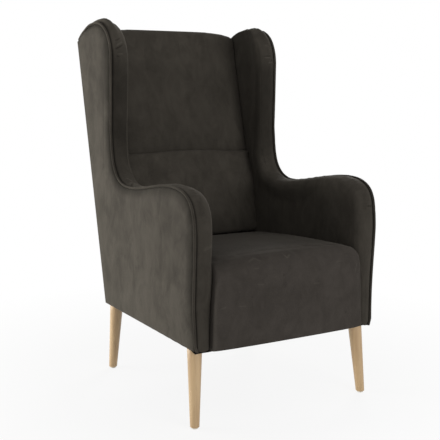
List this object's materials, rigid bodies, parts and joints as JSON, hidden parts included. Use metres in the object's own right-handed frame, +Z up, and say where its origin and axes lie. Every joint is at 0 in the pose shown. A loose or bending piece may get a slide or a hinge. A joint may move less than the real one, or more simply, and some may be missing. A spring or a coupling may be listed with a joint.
{
  "type": "fireside chair",
  "caption": "Upholstered high-back fireside chair with curved arms flowing into side wings, sprung seat, seamed reclined back and tapered splayed wooden legs.",
  "frame": {"origin": "on the floor, in the middle of the chair's overall width and depth", "axes": "+Z up, +X to the left hand of a seated person, the sitter faces -Y"},
  "size_m": [0.582, 0.7902, 1.0805],
  "materials": {
    "velvet": "short-pile velvet in a warm taupe grey, matte with a soft directional sheen",
    "beech": "pale beech under a thin satin lacquer",
    "frame_timber": "planed frame timber, unfinished",
    "plywood": "birch plywood, unfinished",
    "foam": "open-cell upholstery foam",
    "felt": "pressed fibre felt",
    "webbing": "woven elastic webbing",
    "spring_steel": "oiled spring wire",
    "zinc_steel": "bright zinc plating",
    "glide_plastic": "moulded nylon, off-white",
    "liner": "black non-woven dust cover"
  },
  "bodies": {
    "root": {"seat_pad": "velvet", "lumbar_pad": "velvet", "upper_back_pad": "velvet", "side_pad_right": "velvet", "side_pad_left": "velvet", "outer_side_panel_right": "velvet", "outer_side_panel_left": "velvet", "outer_back_panel": "velvet", "welt_right": "velvet", "welt_left": "velvet", "leg_front_right": "beech", "leg_front_left": "beech", "leg_rear_right": "beech", "leg_rear_left": "beech", "base_rail_right": "frame_timber", "base_rail_left": "frame_timber", "seat_rail_right": "frame_timber", "seat_rail_left": "frame_timber", "arm_post_right": "frame_timber", "arm_post_left": "frame_timber", "back_post_right": "frame_timber", "back_post_left": "frame_timber", "back_top_rail": "frame_timber", "back_lower_rail": "frame_timber", "side_board_right": "plywood", "side_board_left": "plywood", "front_rail": "plywood", "rear_rail": "plywood", "seat_foam_core": "foam", "back_foam_core": "foam", "spring_felt": "felt", "back_webbing_1": "webbing", "back_webbing_2": "webbing", "back_webbing_3": "webbing", "back_webbing_4": "webbing", "seat_spring_1": "spring_steel", "seat_spring_2": "spring_steel", "seat_spring_3": "spring_steel", "seat_spring_4": "spring_steel", "spring_clip_front_1": "zinc_steel", "spring_clip_front_2": "zinc_steel", "spring_clip_front_3": "zinc_steel", "spring_clip_front_4": "zinc_steel", "spring_clip_rear_1": "zinc_steel", "spring_clip_rear_2": "zinc_steel", "spring_clip_rear_3": "zinc_steel", "spring_clip_rear_4": "zinc_steel", "leg_bolt_front_right": "zinc_steel", "leg_bolt_front_left": "zinc_steel", "leg_bolt_rear_right": "zinc_steel", "leg_bolt_rear_left": "zinc_steel", "leg_glide_front_right": "glide_plastic", "leg_glide_front_left": "glide_plastic", "leg_glide_rear_right": "glide_plastic", "leg_glide_rear_left": "glide_plastic", "dust_cover": "liner"}
  },
  "joints": []
}
